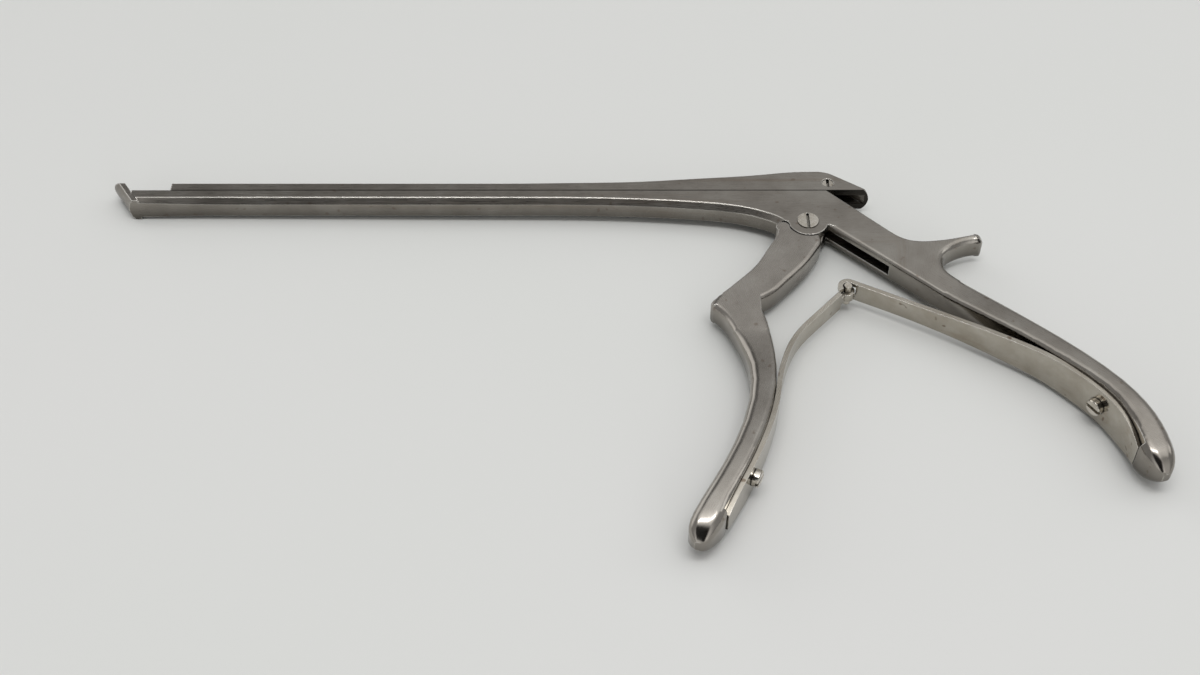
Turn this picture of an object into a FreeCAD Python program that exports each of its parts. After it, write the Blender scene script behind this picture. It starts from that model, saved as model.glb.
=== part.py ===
import FreeCAD, Part
import math
import os

# Kerrison bone rongeur lying on its side. Millimetres, +X from the jaw to the handles, +Y to the
# sliding shaft's back, +Z out of the upper side face. The origin is on the pivot axis, on the lower
# side face of the frame.

os.makedirs("parts", exist_ok=True)
doc = FreeCAD.newDocument("bone_rongeur")
sheet = doc.addObject("Spreadsheet::Sheet", "Sizes")

drivingSizes = {
    # Shaft and jaw
    "sideWidth": 7.0,
    "tipReach": 185.0,
    "jawGap": 10.6,
    "seatHeight": 12.1,
    "barDepth": 4.25,
    "barChamfer": 1.45,
    "footplateRise": 4.1,
    "footplateThickness": 2.9,
    "footplateWidth": 5.4,
    "footplateLean": 5.6,
    "sliderFrontDepth": 3.1,
    "sliderBackDepth": 8.0,
    "sliderTailReach": 17.9,
    "sliderEdge": 0.7,
    "pocketWall": 0.5,
    # Guide keys under the sliding shaft
    "guideNeck": 1.8,
    "guideHead": 3.2,
    "guideLip": 0.8,
    "guideDepth": 1.9,
    "keyLength": 12.0,
    # Pivot, trigger tongue and slider screw
    "bossRadius": 5.4,
    "shoulderGap": 0.4,
    "tongueThickness": 3.0,
    "tongueRadius": 5.0,
    "forkWidth": 6.0,
    "forkReach": 17.7,
    "forkPlay": 0.3,
    "pivotHeadRadius": 2.85,
    "pivotHeadHeight": 1.3,
    "pivotHeadProud": 0.3,
    "pivotShankRadius": 2.1,
    "pivotThreadRadius": 1.7,
    "pinRise": 15.1,
    "pinBack": 6.7,
    "pinRadius": 1.1,
    "pinHeadRadius": 1.6,
    "pinHeadHeight": 1.0,
    "pinSink": 0.2,
    "slotWidthOfScrew": 0.8,
    "slotDepthOfScrew": 0.7,
    # Handles
    "rearFlare": 13.6,
    "frontFlare": 12.6,
    "palmEdge": 2.3,
    "hookEdge": 1.6,
    "spurEdge": 1.8,
    "joinShade": 0.4,
    "handleEdge": 1.1,
    "leafThickness": 1.3,
    "leafTipWidth": 5.6,
    "rearLeafRoot": 10.3,
    "frontLeafRoot": 9.6,
    "leafNarrowing": 11.0,
    "leafEndWidth": 5.4,
    "leafScrewRadius": 1.3,
    "leafScrewHead": 2.2,
    "leafScrewHeadHeight": 1.7,
    "leafScrewLength": 4.2,
    "leafScrewSeat": 0.1,
    # Spring link
    "linkAcross": 8.5,
    "linkBelow": 24.0,
    "linkPinRadius": 1.0,
    "linkPinLength": 6.2,
    "curlPlay": 0.35,
    "neckWidth": 2.4,
    "forkGapWidth": 3.4,
    "eyeWall": 0.9,
    # Clearances
    "slideClearance": 0.05,
    "runningClearance": 0.05,
    "cheekClearance": 0.1,
}
for row, (alias, value) in enumerate(drivingSizes.items(), start=1):
    sheet.set(f"A{row}", alias)
    sheet.set(f"B{row}", str(value))
    sheet.setAlias(f"B{row}", alias)
doc.recompute()


def size(alias):
    return float(sheet.get(alias))


def point(x, y, z=0.0):
    return FreeCAD.Vector(x, y, z)


def line(start, end):
    return Part.makeLine(start, end)


def lines(points):
    return [line(a, b) for a, b in zip(points, points[1:])]


def spline(points, startTangent=None, endTangent=None):
    curve = Part.BSplineCurve()
    if startTangent is None:
        curve.interpolate(points)
    else:
        curve.interpolate(Points=points, InitialTangent=startTangent, FinalTangent=endTangent)
    return curve


def arcThrough(start, middle, end):
    return Part.Arc(start, middle, end).toShape()


def aroundCentre(centre, radius, degrees):
    angle = math.radians(degrees)
    return centre + point(radius * math.cos(angle), radius * math.sin(angle))


def prism(edges, low, high):
    face = Part.Face(Part.Wire(Part.__sortEdges__(edges)))
    face.translate(point(0, 0, low))
    return face.extrude(point(0, 0, high - low))


def cylinder(radius, length, base, axis=None):
    return Part.makeCylinder(radius, length, base, axis or point(0, 0, 1))


def band(curve, first, last, thickness, side, stations=9):
    # A leaf of even thickness between a curve's stretch and its parallel.
    start = curve.value(first)
    offsets = []
    for index in range(stations):
        parameter = first + (last - first) * index / (stations - 1)
        tangent = curve.tangent(parameter)[0]
        normal = point(-tangent.y, tangent.x) * side
        offsets.append(curve.value(parameter) + normal * thickness)
    parallel = spline(offsets)
    edges = [curve.toShape(first, last), parallel.toShape(), line(start, offsets[0]),
             line(curve.value(last), offsets[-1])]
    return edges, offsets


sideWidth = size("sideWidth")
middle = sideWidth / 2
seat = size("seatHeight")
barFloor = seat - size("barDepth")
pivot = point(0, 0)
pin = point(size("pinBack"), size("pinRise"))
link = point(size("linkAcross"), -size("linkBelow"))
tipX = -size("tipReach")
frontX = tipX + size("jawGap")
slotHalf = size("tongueThickness") / 2 + size("cheekClearance")

# Handle curves that two pieces share: the inner faces on which the leaf springs lie
rearInner = spline([point(32.6, -27.2), point(49.6, -42.5), point(59.4, -52.2), point(67.4, -61.6),
                    point(71.9, -71.0), point(73.4, -78.2)])
frontInner = spline([point(-14.7, -31.0), point(-12.3, -45.0), point(-12.7, -58.8), point(-15.6, -71.0),
                     point(-20.6, -83.5), point(-27.6, -97.6)])


def edgesOver(body, curves, shortest=1.0):
    # Edges of a flat body that run over these side view curves, on its upper and lower side
    found = []
    for edge in body.Edges:
        if edge.Length < shortest or abs(edge.CenterOfMass.z - middle) < 1 or edge.BoundBox.ZLength > 0.01:
            continue
        span = edge.LastParameter - edge.FirstParameter
        places = [edge.valueAt(edge.FirstParameter + span * share) for share in (0.3, 0.5, 0.7)]
        flat = [Part.Vertex(place.x, place.y, 0) for place in places]
        if any(max(vertex.distToShape(curve)[0] for vertex in flat) < 0.01 for curve in curves):
            found.append(edge)
    return found


def handleSection(palm, inner, half, palmRadius, innerRadius):
    # Cross section of a handle: a rectangle from the palm side to the inner side, with rounded corners
    across = inner - palm
    thickness = across.Length
    across.normalize()

    def place(depth, height):
        return palm + across * depth + point(0, 0, middle + height)

    def corner(depth, height, radius, depthSign, heightSign):
        # Rounding whose centre is at depth, height
        turn = math.sqrt(0.5) * radius
        return place(depth + depthSign * turn, height + heightSign * turn)

    ring = []
    corners = [(palmRadius, 1, palmRadius, -1), (thickness - innerRadius, 1, innerRadius, 1),
               (thickness - innerRadius, -1, innerRadius, 1), (palmRadius, -1, palmRadius, -1)]
    last = place(0, palmRadius - half)
    for depth, heightSign, radius, depthSign in corners:
        flank = place(depth + depthSign * radius, heightSign * (half - radius))
        top = place(depth, heightSign * half)
        first, second = (flank, top) if depthSign * heightSign < 0 else (top, flank)
        ring.append(line(last, first))
        ring.append(arcThrough(first, corner(depth, heightSign * (half - radius), radius, depthSign, heightSign), second))
        last = second
    return Part.Wire(ring)


def forgedHandle(sections, flare, between=2):
    # Sections give palm point, inner point, share of the flare, and the two edge roundings
    order = [float(index) for index in range(len(sections))]

    def through(places):
        curve = Part.BSplineCurve()
        curve.interpolate(Points=places, Parameters=order)
        return curve

    palm = through([point(row[0], row[1]) for row in sections])
    inner = through([point(row[2], row[3]) for row in sections])
    shape = through([point(*row[4:]) for row in sections])
    wires = []
    for index in range((len(sections) - 1) * between + 1):
        share, palmRadius, innerRadius = shape.value(index / between)
        half = middle + share * (flare / 2 - middle)
        wires.append(handleSection(palm.value(index / between), inner.value(index / between), half,
                                   palmRadius, innerRadius))
    return Part.makeLoft(wires, True, True)


def rearHandle():
    # The first section sits just inside the rounding of the flat part that it grows from
    palm, inner, join = size("palmEdge"), size("handleEdge"), size("joinShade")
    return forgedHandle([
        (38.6, -22.2, 32.6, -27.2, 0.0, size("spurEdge") + join, inner + join),
        (46.2, -29.6, 41.0, -34.7, 0.24, palm, inner + 0.1),
        (55.3, -38.7, 49.6, -42.5, 0.52, palm, inner + 0.2),
        (64.9, -48.9, 59.4, -52.2, 0.79, palm + 0.1, inner + 0.4),
        (72.6, -58.9, 67.4, -61.6, 1.0, palm + 0.1, inner + 0.5),
        (76.9, -66.4, 70.4, -67.6, 1.0, palm + 0.2, inner + 0.8),
        (79.2, -72.3, 71.9, -72.9, 0.88, palm + 0.3, inner + 1.4),
        (80.4, -77.9, 72.2, -78.4, 0.66, palm + 0.4, inner + 1.8),
        (80.6, -80.9, 73.7, -81.9, 0.36, palm + 0.2, inner + 1.6),
        (80.1, -83.0, 75.7, -84.1, -0.15, 1.6, 1.6),
        (79.1, -84.6, 77.3, -85.1, -0.68, 0.7, 0.7),
    ], size("rearFlare"))


def frontHandle():
    palm, inner, join = size("palmEdge"), size("handleEdge"), size("joinShade")
    return forgedHandle([
        (-22.2, -40.0, -12.9, -40.0, 0.0, size("hookEdge") + join, inner + join),
        (-19.9, -47.0, -12.2, -47.0, 0.1, palm, inner + 0.2),
        (-18.9, -57.0, -12.7, -58.8, 0.4, palm, inner + 0.2),
        (-21.8, -71.0, -16.0, -72.4, 0.8, palm, inner + 0.4),
        (-27.2, -84.0, -21.5, -86.2, 1.0, palm, inner + 0.6),
        (-31.4, -91.6, -25.6, -94.4, 0.96, palm + 0.2, inner + 1.1),
        (-34.6, -97.4, -27.2, -99.2, 0.76, palm + 0.3, inner + 1.7),
        (-35.8, -100.6, -28.9, -102.0, 0.4, palm + 0.1, inner + 1.6),
        (-35.6, -102.8, -31.0, -104.2, -0.2, 1.6, 1.6),
        (-34.6, -104.4, -32.8, -105.0, -0.72, 0.7, 0.7),
    ], size("frontFlare"))


def lowerBarCurve():
    return spline([point(-84, barFloor), point(-46, barFloor - 0.6), point(-28.7, barFloor - 1.9),
                   point(-17.8, barFloor - 3.6), point(-12.0, barFloor - 5.6), point(-7.6, barFloor - 8.3)],
                  point(1, 0), point(0.75, -0.9))


def bar():
    curve = lowerBarCurve()
    end = point(-7.6, barFloor - 8.3)
    outline = lines([end, point(-2, 0), point(5.5, seat), point(tipX, seat), point(tipX, barFloor),
                     point(-84, barFloor)])
    body = prism(outline + [curve.toShape()], 0, sideWidth)
    under = [edge for edge in body.Edges
             if abs(edge.tangentAt(edge.FirstParameter).z) < 0.5
             and edge.BoundBox.ZLength < 0.01
             and edge.CenterOfMass.y < barFloor + 0.01
             and edge.CenterOfMass.x < -9]
    return body.makeChamfer(size("barChamfer"), under)


def tipRelief():
    # Behind the footplate the flanks slope in from the seat to a narrow floor.
    inset = 1.7
    start = tipX - 12
    end = tipX + 21
    cuts = []
    for face, sign in ((0, 1), (sideWidth, -1)):
        flank = Part.Face(Part.makePolygon([point(start, seat + 0.02, face), point(start, barFloor - 1, face),
                                            point(start, barFloor - 1, face + sign * inset * 1.24),
                                            point(start, seat + 0.02, face)]))
        wedge = flank.extrude(point(end - start, 0, 0))
        cuts.append(wedge)
    return cuts


def footplate():
    # A rounded plate that leans forward over the jaw gap.
    rise = seat + size("footplateRise") - barFloor
    lean = point(-size("footplateLean"), rise, 0)
    half = size("footplateWidth") / 2
    back = tipX + 2.4
    front = back - size("footplateThickness")
    nose = 1.3
    corners = [point(back, barFloor, middle - half), point(back, barFloor, middle + half)]
    shoulders = [point(front + nose, barFloor, middle + half), point(front + nose, barFloor, middle - half)]
    edges = [line(corners[0], corners[1]), line(corners[1], shoulders[0]),
             arcThrough(shoulders[0], point(front, barFloor, middle), shoulders[1]),
             line(shoulders[1], corners[0])]
    plate = Part.Face(Part.Wire(edges)).extrude(lean)
    crown = cylinder(half * 1.35, 40, point(tipX - 20, seat + size("footplateRise") - half * 1.35, middle),
                     point(1, 0, 0))
    lower = Part.makeBox(40, rise, sideWidth, point(tipX - 20, barFloor, 0))
    below = Part.makeBox(40, rise - half * 0.8, sideWidth, point(tipX - 20, barFloor, 0))
    return plate.common(lower).common(crown.fuse(below))


def spurWeb():
    # The flat part from the shaft's seat to the root of the rear handle, with the thumb spur
    web = spline([point(21.5, -4.1), point(25.4, -7.1), point(30.5, -8.0), point(38.5, -6.9), point(44.3, -5.5)],
                 point(0.69, -0.72), point(0.97, 0.22)).toShape()
    spurEnd = arcThrough(point(44.3, -5.5), point(46.4, -6.3), point(45.6, -7.5))
    spurUnder = spline([point(45.6, -7.5), point(41.9, -8.1), point(37.6, -10.3), point(34.9, -13.2),
                        point(34.6, -16.8), point(38.6, -22.2)], point(-1, 0.1), point(0.71, -0.7)).toShape()
    under = line(point(32.6, -27.2), point(5.3, -1.5))
    edges = lines([point(-6, seat), point(5.9, seat), point(21.5, -4.1)]) + [web, spurEnd, spurUnder]
    edges += [line(point(38.6, -22.2), point(32.6, -27.2)), under]
    edges += lines([point(5.3, -1.5), point(0, 0), point(-6, 2), point(-6, seat)])
    body = prism(edges, 0, sideWidth)
    body = body.makeFillet(size("spurEdge"), edgesOver(body, [spurUnder]))
    return body.makeFillet(size("handleEdge"), edgesOver(body, [under]))


def leafSeat(inner, stepFoot, side):
    # Room for a leaf on a handle's inner face: all that lies beyond the face up to the step
    first, last = inner.FirstParameter, inner.LastParameter
    start, end = inner.value(first), inner.value(last)
    far = stepFoot + (stepFoot - end) * 6
    early = start - inner.tangent(first)[0] * 8
    lead = line(early, start)
    reach = point(side * -20, -6)
    edges = [lead, inner.toShape(), line(end, far), line(far, early + reach), line(early + reach, early)]
    return prism(edges, -20, 30)


def frame():
    body = bar()
    for wedge in tipRelief():
        body = body.cut(wedge)
    boss = cylinder(size("bossRadius"), sideWidth, pivot)
    handle = rearHandle().cut(leafSeat(rearInner, point(72.1, -78.45), 1))
    body = body.fuse([footplate(), spurWeb(), handle, boss])
    # Slot for the trigger's tongue, open at the top and along the handle's underside
    slot = prism(lines([point(-7.0, -12), point(-7.0, seat + 5), point(16, seat + 5), point(11.0, 3.0),
                        point(24.6, -10.8), point(20.9, -14.9), point(14, -24), point(-7.0, -12)]),
                 middle - slotHalf, middle + slotHalf)
    fingerSeat = prism([line(point(-8.9, -8), point(-8.9, -1.2)),
                        arcThrough(point(-8.9, -1.2), point(-6.4, 0.2), point(-5.0, -1.9)),
                        line(point(-5.0, -1.9), point(-5.0, -8)), line(point(-5.0, -8), point(-8.9, -8))],
                       -1, sideWidth + 1)
    body = body.cut([slot, fingerSeat])
    body = body.cut(guideSlot())
    # Pivot bore, its counterbore and the tapped far cheek
    headSeat = sideWidth + size("pivotHeadProud") - size("pivotHeadHeight")
    body = body.cut([cylinder(size("pivotThreadRadius"), 4, point(0, 0, -1)),
                     cylinder(size("pivotShankRadius"), sideWidth, point(0, 0, middle - slotHalf)),
                     cylinder(size("pivotHeadRadius"), 4, point(0, 0, headSeat)),
                     screwHole(rearScrewPlace(), size("leafScrewRadius"), size("leafScrewLength"))])
    return body.removeSplitter()


def guideKeys(grow, travel, wide):
    neck = size("guideNeck") / 2 + grow
    head = size("guideHead") / 2 + grow
    pieces = []
    for start in (tipX + 33, tipX + 123):
        low = seat - size("guideDepth") - grow
        first = start - travel - grow
        length = size("keyLength") + travel + 2 * grow
        neckHeight = size("guideDepth") + 2 * grow + 0.2
        pieces.append(Part.makeBox(length, neckHeight, 2 * neck, point(first, low, middle - neck)))
        headHeight = size("guideDepth") - size("guideLip") + grow
        pieces.append(Part.makeBox(length, headHeight, 2 * head, point(first, low, middle - head)))
        if wide:
            window = size("keyLength") + 2
            pieces.append(Part.makeBox(window + 2, neckHeight + 2, 2 * head,
                                       point(first + length - 2, low, middle - head)))
    return pieces


def guideSlot():
    return guideKeys(size("runningClearance"), size("jawGap") + 2, True)


def slider():
    floor = seat + size("slideClearance")
    top = seat + size("sliderFrontDepth")
    crest = seat + size("sliderBackDepth")
    tailX = size("sliderTailReach")
    back = spline([point(-84, top), point(-66, top + 0.25), point(-46, top + 0.75), point(-28.5, top + 2.1),
                   point(-11.8, top + 3.6), point(-3.4, crest - 0.25), point(3.2, crest)],
                  point(1, 0), point(1, 0))
    shoulder = arcThrough(point(3.2, crest), point(6.6, crest - 0.45), point(9.2, crest - 1.9))
    outline = lines([point(tailX, floor), point(frontX, floor), point(frontX, top), point(-84, top)])
    slope = line(point(9.2, crest - 1.9), point(tailX, floor))
    body = prism(outline + [back.toShape(), shoulder, slope], 0, sideWidth)
    body = body.makeFillet(size("sliderEdge"), edgesOver(body, [outline[2], back.toShape(), shoulder]))
    # Round tail in plan
    noseRadius = 4.6
    keep = Part.makeBox(400, 60, sideWidth, point(tailX - noseRadius - 400, 0, 0)).fuse(
        cylinder(noseRadius, 60, point(tailX - noseRadius, 0, middle), point(0, 1, 0)))
    body = body.common(keep)
    body = body.fuse(guideKeys(0, 0, False))
    # Pocket for the fork of the trigger's tongue, and the hollow cutting mouth
    pocket = Part.makeBox(15.6, crest - 1.5 - floor + 5, 2 * slotHalf,
                          point(pin.x - 5.5, floor - 5, middle - slotHalf))
    # It stays under the tail's slope by a thin wall
    along = point(tailX - 9.2, floor - crest + 1.9).normalize()
    inward = point(along.y, -along.x)
    roof = point(9.2, crest - 1.9) + inward * size("pocketWall")
    pocket = pocket.common(prism(lines([roof - along * 20, roof + along * 30, roof + along * 30 + inward * 60,
                                        roof - along * 20 + inward * 60, roof - along * 20]), 0, sideWidth))
    mouth = Part.makeBox(6.6, 1.7, sideWidth - 2.4, point(frontX - 1, floor + 0.55, 1.2))
    headSeat = sideWidth - size("pinSink") - size("pinHeadHeight")
    body = body.cut([pocket, mouth, cylinder(size("pinRadius"), sideWidth + 2, point(pin.x, pin.y, -1)),
                     cylinder(size("pinHeadRadius"), 4, point(pin.x, pin.y, headSeat))])
    return body.removeSplitter()


def fingerHook():
    # The flat upper part of the trigger, with the crescent and hook for the index finger
    gap = size("bossRadius") + size("shoulderGap")
    notch = aroundCentre(pivot, gap, 207.4)
    shoulder = aroundCentre(pivot, gap, 299)
    fingerTip = [arcThrough(point(-8.25, -3.6), point(-6.55, -0.55), notch),
                 arcThrough(notch, aroundCentre(pivot, gap, 250), shoulder)]
    rear = spline([point(2.95, -7.0), point(2.1, -9.6), point(-1.6, -15.6), point(-7.8, -22.9),
                   point(-14.7, -28.8)], point(0, -1), point(-0.9, -0.45)).toShape()
    inner = spline([point(-14.7, -31.0), point(-12.9, -40.0)], point(0.25, -0.97), point(0.1, -1)).toShape()
    hook = spline([point(-22.2, -40.0), point(-25.9, -32.9), point(-27.3, -30.9)],
                  point(-0.35, 0.94), point(-0.3, 0.95)).toShape()
    hookEnd = arcThrough(point(-27.3, -30.9), point(-27.45, -29.75), point(-26.7, -29.1))
    crescent = spline([point(-26.7, -29.1), point(-20.6, -23.3), point(-14.4, -16.0), point(-10.8, -9.4),
                       point(-8.25, -3.6)], point(0.8, 0.6), point(0.15, 1)).toShape()
    edges = fingerTip + [line(shoulder, point(2.95, -7.0)), rear, line(point(-14.7, -28.8), point(-14.7, -31.0)),
                         inner, line(point(-12.9, -40.0), point(-22.2, -40.0)), hook, hookEnd, crescent]
    body = prism(edges, 0, sideWidth)
    body = body.makeFillet(size("hookEdge"), edgesOver(body, [hook]))
    return body.makeFillet(size("handleEdge"), edgesOver(body, [inner, rear]))


def triggerBody():
    handle = frontHandle().cut(leafSeat(frontInner, point(-26.35, -98.2), -1))
    return fingerHook().fuse(handle)


def tongue():
    # The thin arm that passes up through the frame to the slider screw, forked at its end
    thick = size("tongueThickness")
    low = middle - thick / 2
    toPin = FreeCAD.Vector(pin).normalize()
    side = point(-toPin.y, toPin.x)
    half = size("forkWidth") / 2
    reach = size("forkReach")
    disc = cylinder(size("tongueRadius"), thick, point(0, 0, low))
    arm = prism(lines([side * half, toPin * (reach - 1) + side * half, toPin * reach + side * (half - 1),
                       toPin * reach - side * (half - 1), toPin * (reach - 1) - side * half,
                       side * -half, side * half]), low, low + thick)
    root = prism(lines([point(-4.6, -1.6), point(4.6, -1.6), point(2.6, -8.6), point(-2.5, -13),
                        point(-7.2, -7), point(-4.6, -1.6)]), low, low + thick)
    mouthHalf = size("pinRadius") + size("forkPlay")
    floor = size("pinRise") - 0.4
    mouth = prism(lines([toPin * floor + side * mouthHalf, toPin * (reach + 2) + side * mouthHalf,
                         toPin * (reach + 2) - side * mouthHalf, toPin * floor - side * mouthHalf,
                         toPin * floor + side * mouthHalf]), low - 1, low + thick + 1)
    mouthEnd = cylinder(mouthHalf, thick + 2, toPin * floor + point(0, 0, low - 1))
    return disc.fuse([arm, root]).cut(mouth.fuse(mouthEnd))


def trigger():
    body = triggerBody().fuse(tongue())
    bore = size("pivotShankRadius") + size("runningClearance")
    body = body.cut([cylinder(bore, sideWidth, pivot),
                     screwHole(frontScrewPlace(), size("leafScrewRadius"), size("leafScrewLength"))])
    return body.removeSplitter()


def faceFrame(curve, parameter, inward):
    # Place on a leaf: foot on the handle's face, and the direction out of the leaf.
    tangent = curve.tangent(parameter)[0]
    out = point(-tangent.y, tangent.x) * inward
    return curve.value(parameter) + point(0, 0, middle), out


def nearest(curve, x, y):
    return curve.parameter(point(x, y))


def rearScrewPlace():
    return faceFrame(rearInner, nearest(rearInner, 67.4, -61.6), -1)


def frontScrewPlace():
    return faceFrame(frontInner, nearest(frontInner, -20.8, -84.0), 1)


def screwHole(place, radius, depth):
    foot, out = place
    return cylinder(radius, depth + 4, foot - out * depth, out)


def leafScrew(place):
    foot, out = place
    headBase = foot + out * (size("leafThickness") + size("leafScrewSeat"))
    headHeight = size("leafScrewHeadHeight")
    shank = cylinder(size("leafScrewRadius"), size("leafScrewLength") + size("leafThickness") + 0.5,
                     foot - out * size("leafScrewLength"), out)
    head = cylinder(size("leafScrewHead"), headHeight, headBase, out)
    rim = [edge for edge in head.Edges if edge.CenterOfMass.distanceToPoint(headBase + out * headHeight) < 0.01]
    head = head.makeChamfer(0.25, rim)
    along = point(0, 0, 1).cross(out)
    depth = size("slotDepthOfScrew") + 0.1
    half = (size("slotWidthOfScrew") + 0.2) / 2
    corner = headBase + out * (headHeight - depth)
    reach = size("leafScrewHead") + 1
    slot = Part.Face(Part.makePolygon([corner + along * reach + point(0, 0, half),
                                       corner - along * reach + point(0, 0, half),
                                       corner - along * reach - point(0, 0, half),
                                       corner + along * reach - point(0, 0, half),
                                       corner + along * reach + point(0, 0, half)])).extrude(out * (depth + 1))
    return shank.fuse(head).cut(slot).removeSplitter()


def leafWidth(along, origin, tipStation, rootStation, endStation, rootWidth):
    # Width of a leaf in its own length direction, from the link to the narrow end at the handle's step.
    half = size("leafTipWidth") / 2
    root = rootWidth / 2
    across = point(0, 0, 1).cross(along)

    def place(station, z):
        return origin + along * station + point(0, 0, middle + z) - across * 60

    narrowing = endStation - size("leafNarrowing")
    end = size("leafEndWidth") / 2
    edges = [line(place(tipStation, -half), place(tipStation, half)),
             line(place(endStation, -end), place(endStation, end))]
    for sign in (1, -1):
        edges.append(line(place(tipStation, sign * half), place(tipStation + 14, sign * half)))
        edges.append(spline([place(tipStation + 14, sign * half), place(rootStation, sign * root)],
                            along, along).toShape())
        edges.append(line(place(rootStation, sign * root), place(narrowing, sign * root)))
        edges.append(spline([place(narrowing, sign * root), place(endStation, sign * end)], along,
                            along - point(0, 0, sign * 0.35)).toShape())
    return Part.Face(Part.Wire(Part.__sortEdges__(edges))).extrude(across * 120)


def rearLeaf():
    thickness = size("leafThickness")
    leaves = nearest(rearInner, 59.4, -52.2)
    last = rearInner.LastParameter
    lower, _ = band(rearInner, leaves, last, thickness, -1)
    # The free stretch runs from the handle's face to the curl
    inner = size("linkPinRadius") + size("curlPlay")
    outer = inner + thickness
    toward = point(-0.888, 0.46).normalize()
    over = point(-toward.y, toward.x) * -1
    arrive = link + over * outer
    leave = rearInner.value(leaves)
    tangent = rearInner.tangent(leaves)[0] * -1
    free = spline([leave, point(49.6, -44.4), point(40.6, -38.6), arrive + toward * -8, arrive], tangent, toward)
    upper, _ = band(free, free.FirstParameter, free.LastParameter, thickness, 1, 11)
    start = math.degrees(math.atan2(over.y, over.x))
    curl = [arcThrough(aroundCentre(link, outer, start), aroundCentre(link, outer, start + 75),
                       aroundCentre(link, outer, start + 150)),
            arcThrough(aroundCentre(link, inner, start), aroundCentre(link, inner, start + 75),
                       aroundCentre(link, inner, start + 150)),
            line(aroundCentre(link, inner, start), aroundCentre(link, outer, start)),
            line(aroundCentre(link, inner, start + 150), aroundCentre(link, outer, start + 150))]
    body = prism(lower, -20, 30).fuse([prism(upper, -20, 30), prism(curl, -20, 30)]).removeSplitter()
    along = point(0.755, -0.656).normalize()
    width = leafWidth(along, link, -4, 70, 84.9, size("rearLeafRoot"))
    body = body.common(width)
    gap = size("forkGapWidth") / 2
    fork = prism(lines([link + toward * 5 + over * 5, link - toward * 3.6 + over * 5, link - toward * 3.6 - over * 5,
                        link + toward * 5 - over * 5, link + toward * 5 + over * 5]), middle - gap, middle + gap)
    body = body.cut([fork, screwHole(rearScrewPlace(), size("leafScrewRadius"), 3)])
    return body.removeSplitter()


def frontLeaf():
    thickness = size("leafThickness")
    leaves = nearest(frontInner, -12.7, -58.8)
    last = frontInner.LastParameter
    lower, _ = band(frontInner, leaves, last, thickness, 1)
    toward = point(0.666, 0.746).normalize()
    left = point(-toward.y, toward.x)
    neckEnd = link + left * (thickness / 2)
    leave = frontInner.value(leaves)
    tangent = frontInner.tangent(leaves)[0] * -1
    free = spline([leave, point(-11.0, -51.0), point(-6.6, -40.6), neckEnd - toward * 14, neckEnd],
                  tangent, toward)
    upper, _ = band(free, free.FirstParameter, free.LastParameter, thickness, -1, 11)
    body = prism(lower, -20, 30).fuse(prism(upper, -20, 30)).removeSplitter()
    along = point(-0.41, -0.912).normalize()
    width = leafWidth(along, link, 0, 66, 81.8, size("frontLeafRoot"))
    body = body.common(width)
    neck = size("neckWidth") / 2
    shoulder = 3.4
    for low, high in ((-20, middle - neck), (middle + neck, 30)):
        body = body.cut(prism(lines([link - toward * shoulder + left * 6, link + toward * 5 + left * 6,
                                     link + toward * 5 - left * 6, link - toward * shoulder - left * 6,
                                     link - toward * shoulder + left * 6]), low, high))
    eye = cylinder(size("linkPinRadius") + size("eyeWall"), size("neckWidth"), link + point(0, 0, middle - neck))
    body = body.fuse(eye)
    body = body.cut([cylinder(size("linkPinRadius"), 20, link + point(0, 0, -5)),
                     screwHole(frontScrewPlace(), size("leafScrewRadius"), 3)])
    return body.removeSplitter()


def addShape(label, shape):
    item = doc.addObject("Part::Feature", label)
    item.Label = label
    item.Shape = shape
    return item


def bound(kind, name, values):
    item = doc.addObject(kind, name)
    for prop, expression in values.items():
        item.setExpression(prop, expression)
    return item


def slottedScrew(label, place, head, shank, thread):
    # Head, shank and thread are cylinders on one axis, each given by radius, height and start.
    pieces = []
    for name, (radius, height, start) in (("head", head), ("shank", shank), ("thread", thread)):
        piece = bound("Part::Cylinder", f"{label}_{name}", {
            "Radius": radius, "Height": height, "Placement.Base.x": place[0],
            "Placement.Base.y": place[1], "Placement.Base.z": start})
        pieces.append(piece)
    whole = doc.addObject("Part::MultiFuse", f"{label}_blank")
    whole.Shapes = pieces
    slot = bound("Part::Box", f"{label}_slot", {
        "Length": "Sizes.slotWidthOfScrew", "Width": f"2 * ({head[0]}) + 2", "Height": "Sizes.slotDepthOfScrew + 1",
        "Placement.Base.x": f"{place[0]} - Sizes.slotWidthOfScrew / 2",
        "Placement.Base.y": f"{place[1]} - ({head[0]}) - 1",
        "Placement.Base.z": f"{head[2]} + {head[1]} - Sizes.slotDepthOfScrew"})
    item = doc.addObject("Part::Cut", label)
    item.Base = whole
    item.Tool = slot
    item.Label = label
    return item


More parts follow.
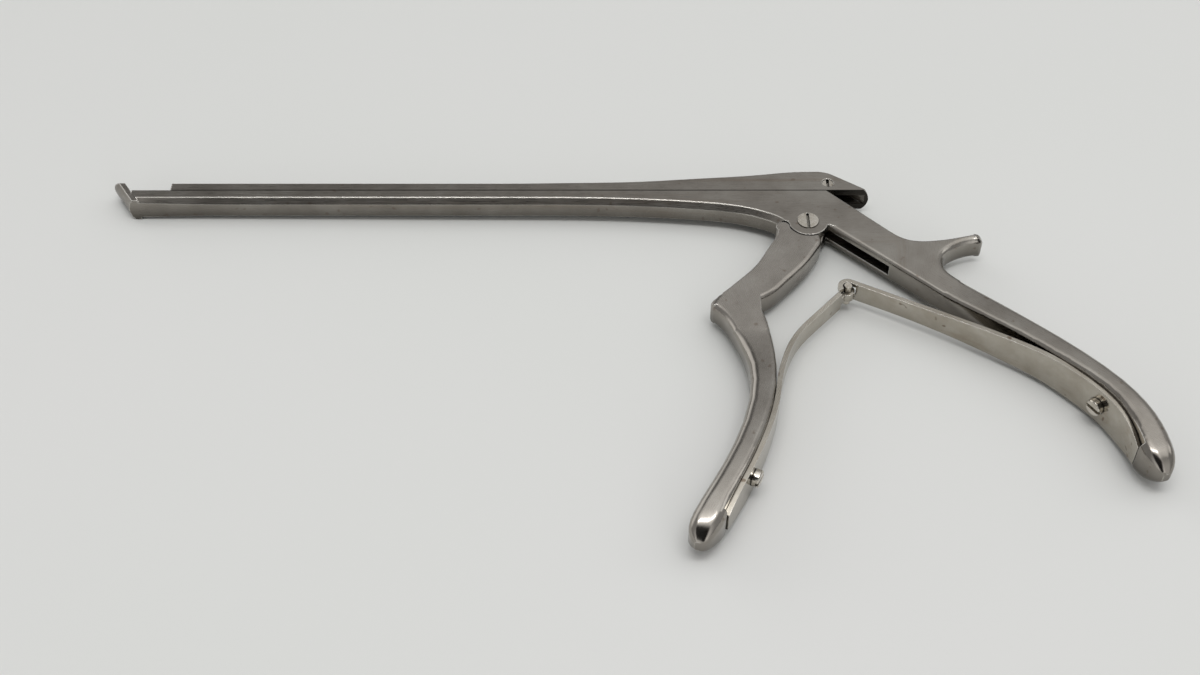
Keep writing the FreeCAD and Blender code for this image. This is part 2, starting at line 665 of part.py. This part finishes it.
cheek = "(Sizes.sideWidth - Sizes.tongueThickness) / 2 - Sizes.cheekClearance"
pivotHeadStart = "Sizes.sideWidth + Sizes.pivotHeadProud - Sizes.pivotHeadHeight"
pinHeadStart = "Sizes.sideWidth - Sizes.pinSink - Sizes.pinHeadHeight"
pieces = [
    addShape("shaft_frame", frame()),
    addShape("sliding_shaft", slider()),
    addShape("trigger_handle", trigger()),
    addShape("rear_leaf_spring", rearLeaf()),
    addShape("front_leaf_spring", frontLeaf()),
    addShape("rear_spring_screw", leafScrew(rearScrewPlace())),
    addShape("front_spring_screw", leafScrew(frontScrewPlace())),
    slottedScrew("pivot_screw", ("0", "0"),
                 ("Sizes.pivotHeadRadius", "Sizes.pivotHeadHeight", pivotHeadStart),
                 ("Sizes.pivotShankRadius", f"{pivotHeadStart} - ({cheek})", cheek),
                 ("Sizes.pivotThreadRadius", f"{cheek} - 0.2", "0.2")),
    slottedScrew("slider_screw", ("Sizes.pinBack", "Sizes.pinRise"),
                 ("Sizes.pinHeadRadius", "Sizes.pinHeadHeight", pinHeadStart),
                 ("Sizes.pinRadius", f"{pinHeadStart} - ({cheek})", cheek),
                 ("Sizes.pinRadius", f"{cheek} - 0.2", "0.2")),
    bound("Part::Cylinder", "spring_link_pin", {
        "Radius": "Sizes.linkPinRadius", "Height": "Sizes.linkPinLength",
        "Placement.Base.x": "Sizes.linkAcross", "Placement.Base.y": "-Sizes.linkBelow",
        "Placement.Base.z": "(Sizes.sideWidth - Sizes.linkPinLength) / 2"}),
]
doc.recompute()

for item in doc.Objects:
    if "Invalid" in item.State or "Error" in item.State:
        raise RuntimeError(f"{item.Label} failed: {item.State}")
for piece in pieces:
    shape = piece.Shape
    if shape.isNull() or not shape.isValid():
        raise RuntimeError(f"{piece.Label} has no valid shape")
    print(piece.Label, len(shape.Solids), round(shape.Volume, 1), [round(v, 1) for v in (
        shape.BoundBox.XMin, shape.BoundBox.XMax, shape.BoundBox.YMin, shape.BoundBox.YMax,
        shape.BoundBox.ZMin, shape.BoundBox.ZMax)])
    shape.exportStep(f"parts/{piece.Label}.step")
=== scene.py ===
import bpy
import math
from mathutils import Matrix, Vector


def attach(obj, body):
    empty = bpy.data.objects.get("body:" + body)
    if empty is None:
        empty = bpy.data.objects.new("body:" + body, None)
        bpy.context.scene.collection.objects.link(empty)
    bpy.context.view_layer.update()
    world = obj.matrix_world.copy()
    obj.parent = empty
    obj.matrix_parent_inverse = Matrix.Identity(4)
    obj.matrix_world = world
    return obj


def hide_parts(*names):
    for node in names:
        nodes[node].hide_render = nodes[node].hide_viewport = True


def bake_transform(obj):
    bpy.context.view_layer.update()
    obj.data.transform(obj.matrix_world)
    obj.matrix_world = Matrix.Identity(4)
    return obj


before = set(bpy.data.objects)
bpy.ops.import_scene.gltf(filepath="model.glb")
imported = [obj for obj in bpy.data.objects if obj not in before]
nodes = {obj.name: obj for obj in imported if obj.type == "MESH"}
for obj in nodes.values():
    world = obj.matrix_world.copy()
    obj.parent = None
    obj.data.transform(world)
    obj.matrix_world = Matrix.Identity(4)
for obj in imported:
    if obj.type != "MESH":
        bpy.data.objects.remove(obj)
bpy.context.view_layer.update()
mm = 0.001
print("loaded", len(nodes), "nodes")

# Half way through the 7 mm thick bar, in mm: the tool lies on its side
midPlane = 3.5


def linearColour(hexColour):
    channels = [int(hexColour[i:i + 2], 16) / 255 for i in (0, 2, 4)]
    return [c / 12.92 if c <= 0.04045 else ((c + 0.055) / 1.055) ** 2.4 for c in channels] + [1.0]


def addNode(tree, kind, inputs=None, **properties):
    # inputs: socket name or number -> another node's output, or the socket's own value
    node = tree.nodes.new(kind)
    for name, value in properties.items():
        setattr(node, name, value)
    for name, value in (inputs or {}).items():
        if isinstance(value, bpy.types.NodeSocket):
            tree.links.new(value, node.inputs[name])
        else:
            node.inputs[name].default_value = value
    return node


def ranged(tree, value, span, low=0.0, high=1.0, interpolation="LINEAR"):
    # Low where the value is at the span's first end or before it, high at its second end and past it
    return addNode(tree, "ShaderNodeMapRange", {
        "Value": value, "From Min": span[0], "From Max": span[1], "To Min": low, "To Max": high},
        interpolation_type=interpolation).outputs["Result"]


def calculated(tree, operation, *values):
    return addNode(tree, "ShaderNodeMath", dict(enumerate(values)), operation=operation).outputs[0]


def dotProduct(tree, first, second):
    return addNode(tree, "ShaderNodeVectorMath", {0: first, 1: second},
                   operation="DOT_PRODUCT").outputs["Value"]


# The mix node's sockets for each kind of value: the two inputs, and the output
mixSockets = {"FLOAT": (2, 3, 0), "VECTOR": (4, 5, 1), "RGBA": (6, 7, 2)}


def mixed(tree, kind, share, first, second):
    firstInput, secondInput, result = mixSockets[kind]
    return addNode(tree, "ShaderNodeMix", {0: share, firstInput: first, secondInput: second},
                   data_type=kind).outputs[result]


def noise(tree, space, sizeMm, character):
    detail, roughness = character
    return addNode(tree, "ShaderNodeTexNoise", {
        "Vector": space, "Scale": 1 / (sizeMm * mm), "Detail": detail,
        "Roughness": roughness}).outputs["Fac"]


def turnedSpace(tree, space, degrees):
    return addNode(tree, "ShaderNodeMapping", {
        "Vector": space, "Rotation": (0, 0, math.radians(degrees))}).outputs["Vector"]


def colourRamp(tree, value, stops, colours):
    ramp = addNode(tree, "ShaderNodeValToRGB", {"Fac": value})
    while len(ramp.color_ramp.elements) < len(stops):
        ramp.color_ramp.elements.new(0.5)
    for element, position, colour in zip(ramp.color_ramp.elements, stops, colours):
        element.position = position
        element.color = linearColour(colour)
    return ramp.outputs["Color"]


def newMaterial(name):
    material = bpy.data.materials.new(name)
    material.use_nodes = True
    material.node_tree.nodes.clear()
    return material


# Stainless steel, hardened and satin ground: grey with a warm cast, soft reflections on the flats,
# almost mirror bright where the edges were polished round, with a painted highlight there in a lighter
# colour. Lengths are in mm. Each noise has its detail and roughness. Each other pair holds the two values
# between which something changes.
shaftLook = {
    "dark": "837e77", "body": "8f8a83", "light": "9b9790", "toneStops": (0.32, 0.5, 0.68),
    "cloudMm": 14, "cloudNoise": (4.0, 0.62),
    "stain": "7f7060", "stainMm": 5, "stainNoise": (6.0, 0.7), "stainFrom": (0.58, 0.78),
    "stainShare": 0.5,
    "freckle": "5e4630", "freckleMm": 2.2, "freckleNoise": (1.0, 0.5), "freckleFrom": (0.71, 0.76),
    "freckleShare": 0.35,
    # Painted shade low on the walls: its colour, the height in mm it fades out at, its share, and the
    # normals' cosines
    "lowShadeColour": "3a3733", "lowShadeTo": 5.5, "lowShadeShare": 0.8, "wallCosines": (0.6, 0.3),
    "grainTurn": 0, "grainStretch": 40, "grainMm": 0.18, "grainNoise": (3.0, 0.6),
    "handleAxis": (0.707, -0.707, 0), "handleFrom": 22, "handleOver": 14, "handleTurn": 44,
    "roughness": 0.3, "roughnessSpread": 0.05, "grainValues": (0.3, 0.7), "bump": 0.07, "bumpDepth": 0.02,
    "buffedRoughness": 0.15, "buffedCosines": (0.985, 0.9),
    # Edges: polished, with a painted highlight in a lighter colour
    "polishedHighlight": "c4c1bb", "edgeMm": 0.45, "edgeSamples": 6, "edgeCosines": (0.999, 0.93),
    "edgeRoughness": 0.16,
    # Painted shade and dried oil in the gaps: colour, reach in mm, samples, and the openness it spans
    "gapShadeAndOil": "14110e", "gapMm": 1.0, "gapSamples": 8, "gapOpenness": (0.4, 0.75),
    # The seam under the slider, with its painted hairline of shade
    "seamY": 12.13, "seamFrom": -174.4, "seamOver": 0.5, "seamSharp": (0.9, 0.5), "seamShade": (0.24, 0.1),
    "seamShadeShare": 0.85,
}
# A seam that starts past the tool's end isn't drawn
noSeam = 500
# The trigger is the frame's steel in lighter tones: painted light, for the brighter light that falls on it
triggerLook = dict(
    shaftLook, dark="8f8a83", body="9c9790", light="a8a49d", stain="8a7a69", grainTurn=-60,
    grainStretch=12, grainMm=0.15, roughness=0.26, seamFrom=noSeam, handleAxis=(0, -1, 0),
    handleFrom=20, handleTurn=-75)
# Spring strip: rolled, hardened and polished lengthwise, with a straw tint left by the tempering
springLook = dict(
    shaftLook, seamFrom=noSeam, freckleShare=0.6, lowShadeShare=0.2, dark="a39c90", body="aea89d",
    light="bab5ab", stain="8c7558", stainShare=0.7, grainStretch=60, grainMm=0.3, cloudMm=9, stainMm=7,
    edgeMm=0.2, roughness=0.24, roughnessSpread=0.06)
rearSpringLook = dict(springLook, grainTurn=41, handleTurn=41)
frontSpringLook = dict(springLook, grainTurn=-66, handleTurn=-66)
# Screws: turned bright, so lighter than the frame round them
screwLook = dict(
    shaftLook, seamFrom=noSeam, lowShadeShare=0.0, dark="b9b2a6", body="c8c2b7", light="d6d1c8",
    stain="9d8a70", stainShare=0.4, grainStretch=1, grainMm=0.25, cloudMm=3, stainMm=2, edgeMm=0.15,
    roughness=0.26)


def inMetres(span):
    return [end * mm for end in span]


def brushedSteel(name, look):
    material = newMaterial(name)
    tree = material.node_tree
    place = addNode(tree, "ShaderNodeTexCoord").outputs
    spot = addNode(tree, "ShaderNodeSeparateXYZ", {"Vector": place["Object"]}).outputs
    facing = addNode(tree, "ShaderNodeSeparateXYZ", {"Vector": place["Normal"]}).outputs
    upright = calculated(tree, "ABSOLUTE", facing["Z"])
    handleward = dotProduct(tree, place["Object"], look["handleAxis"])
    handleSpan = (look["handleFrom"], look["handleFrom"] + look["handleOver"])
    onHandle = ranged(tree, handleward, inMetres(handleSpan))

    # Grinding lines run along the piece, and on a handle along the handle: stretched noise, guessed
    # to be coarser than real lines, which would be too fine to show
    turned = mixed(tree, "VECTOR", onHandle, turnedSpace(tree, place["Object"], look["grainTurn"]),
                   turnedSpace(tree, place["Object"], look["handleTurn"]))
    grainSpace = addNode(tree, "ShaderNodeMapping", {
        "Vector": turned, "Scale": (1 / look["grainStretch"], 1, 1)}).outputs["Vector"]
    grain = noise(tree, grainSpace, look["grainMm"], look["grainNoise"])

    clouds = noise(tree, place["Object"], look["cloudMm"], look["cloudNoise"])
    colour = colourRamp(tree, clouds, look["toneStops"], (look["dark"], look["body"], look["light"]))
    stain = noise(tree, grainSpace, look["stainMm"], look["stainNoise"])
    stained = ranged(tree, stain, look["stainFrom"], high=look["stainShare"])
    colour = mixed(tree, "RGBA", stained, colour, linearColour(look["stain"]))

    # Rust freckles, a millimetre or less across
    freckle = noise(tree, place["Object"], look["freckleMm"], look["freckleNoise"])
    freckled = ranged(tree, freckle, look["freckleFrom"], high=look["freckleShare"])
    colour = mixed(tree, "RGBA", freckled, colour, linearColour(look["freckle"]))

    # Painted shade: walls are darker low down, near the floor
    low = ranged(tree, spot["Z"], inMetres((0.0, look["lowShadeTo"])), look["lowShadeShare"], 0.0)
    shadedLowWall = calculated(tree, "MULTIPLY", low, ranged(tree, upright, look["wallCosines"]))
    colour = mixed(tree, "RGBA", shadedLowWall, colour, linearColour(look["lowShadeColour"]))

    # The seam under the slider is a close fit: its two edges are left sharp, with a painted hairline of
    # shade along it
    offSeam = calculated(tree, "ABSOLUTE", calculated(tree, "SUBTRACT", spot["Y"], look["seamY"] * mm))
    alongSeam = ranged(tree, spot["X"], inMetres((look["seamFrom"], look["seamFrom"] + look["seamOver"])))
    nearSeam = calculated(tree, "MULTIPLY", ranged(tree, offSeam, inMetres(look["seamSharp"])), alongSeam)
    shadeHairline = calculated(tree, "MULTIPLY", ranged(
        tree, offSeam, inMetres(look["seamShade"]), high=look["seamShadeShare"]), alongSeam)

    # Rounded edges: where the bevelled normal leaves the face's own
    geometry = addNode(tree, "ShaderNodeNewGeometry").outputs
    rounded = addNode(tree, "ShaderNodeBevel", {"Radius": look["edgeMm"] * mm},
                      samples=look["edgeSamples"]).outputs["Normal"]
    edge = ranged(tree, dotProduct(tree, rounded, geometry["Normal"]), look["edgeCosines"])
    edge = mixed(tree, "FLOAT", nearSeam, edge, 0.0)
    softNormal = mixed(tree, "VECTOR", nearSeam, rounded, geometry["Normal"])
    # Painted highlight: the polished edges are painted a lighter colour
    colour = mixed(tree, "RGBA", edge, colour, linearColour(look["polishedHighlight"]))

    # Painted shade in the gaps between pieces, where little of the room is open, with dried oil and dirt
    # in them
    openness = addNode(tree, "ShaderNodeAmbientOcclusion", {"Distance": look["gapMm"] * mm},
                       samples=look["gapSamples"]).outputs["AO"]
    gap = ranged(tree, openness, look["gapOpenness"], 1.0, 0.0)
    shadeAndOil = calculated(tree, "MAXIMUM", gap, shadeHairline)
    colour = mixed(tree, "RGBA", shadeAndOil, colour, linearColour(look["gapShadeAndOil"]))

    # Satin on the flats, buffed on the handle's roundings, polished at the edges
    rough = ranged(tree, grain, look["grainValues"], look["roughness"] - look["roughnessSpread"],
                   look["roughness"] + look["roughnessSpread"])
    buffed = calculated(tree, "MULTIPLY", ranged(tree, upright, look["buffedCosines"]), onHandle)
    rough = mixed(tree, "FLOAT", buffed, rough, look["buffedRoughness"])
    rough = mixed(tree, "FLOAT", edge, rough, look["edgeRoughness"])

    bump = addNode(tree, "ShaderNodeBump", {
        "Strength": look["bump"], "Distance": look["bumpDepth"] * mm, "Height": grain,
        "Normal": softNormal}).outputs["Normal"]
    shader = addNode(tree, "ShaderNodeBsdfPrincipled", {
        "Metallic": 1.0, "Base Color": colour, "Roughness": rough, "Normal": bump})
    addNode(tree, "ShaderNodeOutputMaterial", {"Surface": shader.outputs["BSDF"]})
    return material


def dress(piece, material):
    piece.data.materials.clear()
    piece.data.materials.append(material)


dress(nodes["sliding_shaft"], brushedSteel("satin ground slider steel", shaftLook))
screwSteel = brushedSteel("turned screw steel", screwLook)
for screw in ("pivot_screw", "slider_screw", "rear_spring_screw", "front_spring_screw", "spring_link_pin"):
    dress(nodes[screw], screwSteel)
print("materials done")

# How far apart, in mm and degrees, points and faces of the CAD mesh count as one
mergeLimits = {"apart": 0.001, "bend": 0.2}


def mergedCopy(name, node):
    bpy.ops.object.select_all(action="DESELECT")
    piece = bpy.data.objects.new(name, nodes[node].data.copy())
    bpy.context.scene.collection.objects.link(piece)
    piece.select_set(True)
    bpy.context.view_layer.objects.active = piece
    bpy.ops.object.mode_set(mode="EDIT")
    bpy.ops.mesh.select_all(action="SELECT")
    bpy.ops.mesh.remove_doubles(threshold=mergeLimits["apart"] * mm)
    bpy.ops.mesh.dissolve_limited(angle_limit=math.radians(mergeLimits["bend"]))
    bpy.ops.mesh.select_all(action="DESELECT")
    bpy.ops.object.mode_set(mode="OBJECT")
    return piece


def unselected(piece):
    bpy.ops.object.mode_set(mode="OBJECT")
    mesh = piece.data
    for part in (*mesh.vertices, *mesh.edges, *mesh.polygons):
        part.select = False
    return mesh


def pickVertices(piece, wanted):
    # wanted(place) takes a vertex's place in mm
    for vertex in unselected(piece).vertices:
        vertex.select = wanted(vertex.co / mm)
    bpy.ops.object.mode_set(mode="EDIT")
    bpy.ops.mesh.select_mode(type="VERT")


def pickFaces(piece, wanted):
    # wanted(centre, normal) takes a face's centre in mm and its normal
    for face in unselected(piece).polygons:
        face.select = wanted(face.center / mm, face.normal)
    bpy.ops.object.mode_set(mode="EDIT")
    bpy.ops.mesh.select_mode(type="FACE")


# The end of the spur or hook: where it is cut into levels, as shares of its round profile's radius,
# and how far from its centre faces and vertices belong to it, in reaches
tipCut = {"levels": (0, 0.3, 0.5, 0.7, 0.85, 0.95), "faceReach": 2.5, "vertexReach": 1.6}


def roundedTip(piece, tip):
    # Cut the end of the spur or hook to a round profile across its thickness
    centre, inward = Vector(tip["centre"]), Vector(tip["inward"]).normalized()
    radius = tip["radius"]
    flatHalf = midPlane - radius
    for side in (1, -1):
        for share in tipCut["levels"]:
            pickFaces(piece, lambda place, normal:
                      (place.xy - centre.xy).length < tip["reach"] * tipCut["faceReach"])
            level = midPlane + side * (flatHalf + radius * share)
            bpy.ops.mesh.bisect(plane_co=(0, 0, level * mm), plane_no=(0, 0, 1))
    bpy.ops.object.mode_set(mode="OBJECT")
    atEnd = [vertex for vertex in piece.data.vertices
             if (vertex.co.xy / mm - centre.xy).length < tip["reach"] * tipCut["vertexReach"]]
    endmost = min((vertex.co / mm - centre).dot(inward) for vertex in atEnd)
    for vertex in atEnd:
        rise = min(1.0, max(0.0, (abs(vertex.co.z / mm - midPlane) - flatHalf) / radius))
        wanted = endmost + radius * (1 - math.sqrt(1 - rise * rise))
        short = wanted - (vertex.co / mm - centre).dot(inward)
        if short > 0:
            vertex.co += inward * short * mm


def closedJoin(piece, join):
    # Merge the handle's first ring with the rim of the flat part
    at, along = Vector(join["at"]), Vector(join["along"]).normalized()
    pickVertices(piece, lambda place: abs((place - at).dot(along)) < join["ringDepth"])
    bpy.ops.mesh.remove_doubles(threshold=join["within"] * mm)
    bpy.ops.object.mode_set(mode="OBJECT")


def smoothed(piece, degrees):
    # Soft across the facets of a rounding, true on the flats
    bpy.ops.mesh.customdata_custom_splitnormals_clear()
    bpy.ops.object.shade_smooth_by_angle(angle=math.radians(degrees))
    weighted = piece.modifiers.new("flats first", "WEIGHTED_NORMAL")
    weighted.keep_sharp = True
    bpy.ops.object.modifier_apply(modifier=weighted.name)


# Behind the footplate the bar keeps its flat side and its chamfer, and the plate is as wide as the bar.
# "slope" and "lean" are the limits of the chamfer faces' normals, "from" and "to" the distances from
# the mid plane between which an edge of the chamfer lies.
jawFlank = {
    "behind": -163.5, "slope": (0.8, 0.97), "lean": 0.05, "onEdge": 0.01,
    "edges": ({"y": 9.3, "from": 1.5, "to": 3.4, "outward": 1.13},
              {"y": 7.85, "from": 1.5, "to": 2.0, "outward": 0.26}),
    "plateFrom": -182.0, "plateHalf": 2.75, "plateWider": 1.27, "plateCentre": (-187, 12, midPlane),
    "mergeTo": -162.5, "mergeWithin": 0.03, "dropUnder": 0.02,
}


def flankedJaw(piece):
    behind = jawFlank["behind"]
    least, most = jawFlank["slope"]
    pickFaces(piece, lambda place, normal: place.x < behind and least < abs(normal.z) < most
              and normal.y < 0 and abs(normal.x) < jawFlank["lean"])
    bpy.ops.mesh.bisect(plane_co=(0, jawFlank["edges"][0]["y"] * mm, 0), plane_no=(0, 1, 0))
    bpy.ops.object.mode_set(mode="OBJECT")
    for edge in jawFlank["edges"]:
        for side in (1, -1):
            pickVertices(piece, lambda place: place.x < behind
                         and abs(place.y - edge["y"]) < jawFlank["onEdge"]
                         and edge["from"] < (place.z - midPlane) * side < edge["to"])
            bpy.ops.transform.translate(value=(0, 0, side * edge["outward"] * mm))
    pickVertices(piece, lambda place: place.x < jawFlank["plateFrom"]
                 and abs(place.z - midPlane) < jawFlank["plateHalf"])
    bpy.ops.transform.resize(value=(1, 1, jawFlank["plateWider"]),
                             center_override=Vector(jawFlank["plateCentre"]) * mm)
    pickVertices(piece, lambda place: place.x < jawFlank["mergeTo"])
    bpy.ops.mesh.remove_doubles(threshold=jawFlank["mergeWithin"] * mm)
    bpy.ops.mesh.dissolve_degenerate(threshold=jawFlank["dropUnder"] * mm)
    bpy.ops.object.mode_set(mode="OBJECT")


# Frame and trigger: forged, then ground and polished by hand, so the handles have no facets
def forgedPiece(forging):
    piece = mergedCopy(forging["name"], forging["node"])
    roundedTip(piece, forging["tip"])
    closedJoin(piece, forging["join"])
    if "finish" in forging:
        forging["finish"](piece)
    smoothed(piece, forging["sharpDegrees"])
    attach(piece, forging["body"])
    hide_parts(forging["node"])
    dress(piece, brushedSteel(forging["steel"], forging["look"]))


forgedPiece({
    "name": "forged_frame", "node": "shaft_frame", "body": "frame", "sharpDegrees": 32,
    "tip": {"centre": (45.9, -6.4, midPlane), "inward": (-1, -0.1, 0), "reach": 2.0, "radius": 2.4},
    "join": {"at": (38.6, -22.2, 0), "along": (5.0, -6.0, 0), "ringDepth": 0.03, "within": 0.3},
    "finish": flankedJaw, "steel": "satin ground frame steel", "look": shaftLook})
forgedPiece({
    "name": "forged_trigger", "node": "trigger_handle", "body": "trigger", "sharpDegrees": 32,
    "tip": {"centre": (-27.0, -30.0, midPlane), "inward": (0.85, -0.5, 0), "reach": 1.6, "radius": 1.6},
    "join": {"at": (-22.2, -40, 0), "along": (0, 1, 0), "ringDepth": 0.03, "within": 0.3},
    "steel": "satin ground trigger steel", "look": triggerLook})
print("forgings done")


# Leaf springs: each runs from its handle to the spring link, one sheet of steel with cross lines along it.
# "slot" is the end of the rear leaf's fork, drawn closer to the pin.
def bendingLeaf(leaf):
    piece = mergedCopy(leaf["name"], leaf["node"])
    if "slot" in leaf:
        slot = leaf["slot"]
        slotEnd, forward = Vector(slot["end"]), Vector(slot["forward"])
        pickVertices(piece, lambda place: abs((place - slotEnd).dot(forward.normalized())) < slot["depth"]
                     and abs(place.z - midPlane) < slot["half"])
        bpy.ops.transform.translate(value=forward * mm)
    bpy.ops.object.mode_set(mode="EDIT")
    start, end = Vector(leaf["bendStart"]) * mm, Vector(leaf["bendEnd"]) * mm
    for index in range(leaf["crossLines"] + 1):
        bpy.ops.mesh.select_all(action="SELECT")
        bpy.ops.mesh.bisect(plane_co=start.lerp(end, index / leaf["crossLines"]), plane_no=end - start)
    bpy.ops.mesh.select_all(action="DESELECT")
    bpy.ops.object.mode_set(mode="OBJECT")
    smoothed(piece, leaf["sharpDegrees"])
    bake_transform(piece)
    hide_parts(leaf["node"])
    dress(piece, brushedSteel(leaf["name"] + " steel", leaf["look"]))


bendingLeaf({
    "name": "rear_leaf", "node": "rear_leaf_spring", "handleBody": "frame", "springBody": "rear_spring",
    "bendStart": (59.4, -52.2, midPlane), "bendEnd": (8.5, -24.0, midPlane), "crossLines": 24,
    "slot": {"end": (11.7, -25.66, midPlane), "forward": (-1.65, 0.85, 0), "depth": 0.1, "half": 1.8},
    "sharpDegrees": 30, "look": rearSpringLook})
bendingLeaf({
    "name": "front_leaf", "node": "front_leaf_spring", "handleBody": "trigger",
    "springBody": "front_spring",
    "bendStart": (-12.7, -58.8, midPlane), "bendEnd": (8.5, -24.0, midPlane), "crossLines": 24,
    "sharpDegrees": 30, "look": frontSpringLook})
print("leaf springs done")

# Floor: matt pale paper under the tool, through the three points that the tool lies on. The points
# are in mm, the size is in metres.
floorLook = {
    "size": 3.0, "rear": (72, -78, -3.35), "front": (-30, -96, -2.85), "tip": (-185, 8, -0.02),
    "dark": "d8d9d6", "light": "dadad8", "toneStops": (0.3, 0.7), "fibresPerMetre": 6.0,
    "fibreDetail": 2.0, "roughness": 0.9, "specular": 0.1,
}


def paperFloor():
    rear, front, tip = (Vector(floorLook[point]) * mm for point in ("rear", "front", "tip"))
    normal = (front - rear).cross(tip - rear)
    normal = normal if normal.z > 0 else -normal
    bpy.ops.mesh.primitive_plane_add(size=floorLook["size"], location=(rear + front + tip) / 3)
    floor = bpy.context.object
    floor.name = "paper_floor"
    floor.rotation_mode = "QUATERNION"
    floor.rotation_quaternion = normal.to_track_quat("Z", "Y")
    material = newMaterial("matt white paper")
    tree = material.node_tree
    place = addNode(tree, "ShaderNodeTexCoord").outputs
    fibres = addNode(tree, "ShaderNodeTexNoise", {
        "Vector": place["Object"], "Scale": floorLook["fibresPerMetre"],
        "Detail": floorLook["fibreDetail"]}).outputs["Fac"]
    tone = colourRamp(tree, fibres, floorLook["toneStops"], (floorLook["dark"], floorLook["light"]))
    shader = addNode(tree, "ShaderNodeBsdfPrincipled", {
        "Roughness": floorLook["roughness"], "Specular IOR Level": floorLook["specular"],
        "Base Color": tone})
    addNode(tree, "ShaderNodeOutputMaterial", {"Surface": shader.outputs["BSDF"]})
    floor.data.materials.append(material)


paperFloor()

# Light: a dim room with a broad bright ceiling, pale at the front and the sides, with dim patches at
# the front and at the back. Each patch is a direction, the cosines where it begins and is full, and
# the light that it adds or takes.
roomLook = {
    "base": 0.425, "least": 0.03,
    "patches": {
        "ceiling": ((0.0, -0.2, 1.0), (0.82, 0.97), 0.5),
        "ceilingEdge": ((0.1, 0.1, 1.0), (0.76, 0.86), 0.68),
        "paleFront": ((0.0, -0.95, 0.25), (0.5, 0.95), 0.9),
        "dimFront": ((-0.1, -0.72, 0.69), (0.84, 0.97), -1.6),
        "dimLow": ((-0.05, -0.95, 0.3), (0.93, 0.98), -1.8),
        "dimLeft": ((-0.24, 0.72, 0.65), (0.945, 0.99), -0.28),
        "paleLeft": ((-0.78, 0.6, 0.15), (0.8, 0.95), 0.9),
        "paleRight": ((0.62, 0.5, 0.6), (0.8, 0.98), 0.15),
    },
}
# The lamps' places, aims and sizes are in metres
lamps = (
    {"name": "overhead_box", "place": (0.0, -0.25, 1.0), "aim": (-0.02, 0, 0), "size": (0.8, 0.12),
     "watts": 2.4},
    {"name": "right_box", "place": (0.9, 0.1, 0.6), "aim": (0, 0, 0), "size": (0.4, 0.4), "watts": 0.5},
)


def room():
    world = bpy.data.worlds.new("room")
    bpy.context.scene.world = world
    world.use_nodes = True
    tree = world.node_tree
    tree.nodes.clear()
    direction = addNode(tree, "ShaderNodeTexCoord").outputs["Generated"]
    total = addNode(tree, "ShaderNodeValue").outputs[0]
    total.default_value = roomLook["base"]
    for towards, cosines, light in roomLook["patches"].values():
        facing = dotProduct(tree, direction, Vector(towards).normalized())
        share = ranged(tree, facing, cosines, high=light, interpolation="SMOOTHSTEP")
        total = calculated(tree, "ADD", total, share)
    level = calculated(tree, "MAXIMUM", total, roomLook["least"])
    sky = addNode(tree, "ShaderNodeBackground", {"Strength": 1.0, "Color": level})
    addNode(tree, "ShaderNodeOutputWorld", {"Surface": sky.outputs["Background"]})


def softBox(box):
    lamp = bpy.data.lights.new(box["name"], "AREA")
    lamp.shape = "RECTANGLE"
    lamp.size, lamp.size_y = box["size"]
    lamp.energy = box["watts"]
    holder = bpy.data.objects.new(box["name"], lamp)
    bpy.context.scene.collection.objects.link(holder)
    holder.location = box["place"]
    holder.rotation_mode = "QUATERNION"
    holder.rotation_quaternion = (Vector(box["aim"]) - Vector(box["place"])).to_track_quat("-Z", "Y")


room()
for box in lamps:
    softBox(box)
print("light done")

# Camera: the photograph's own view, 47.5 degrees down, on the jaw's side of the handles
cameraLook = {"place": (-56.2, -328.0, 318.2), "down": 47.5, "lens": 50.1, "sensor": 36, "nearest": 10}
camera = bpy.data.objects.new("camera", bpy.data.cameras.new("camera"))
bpy.context.scene.collection.objects.link(camera)
camera.location = Vector(cameraLook["place"]) * mm
camera.rotation_euler = (math.radians(90 - cameraLook["down"]), 0, 0)
camera.data.lens = cameraLook["lens"]
camera.data.sensor_width = cameraLook["sensor"]
camera.data.clip_start = cameraLook["nearest"] * mm
bpy.context.scene.camera = camera
bpy.context.scene.view_settings.view_transform = "Standard"

print("finished")
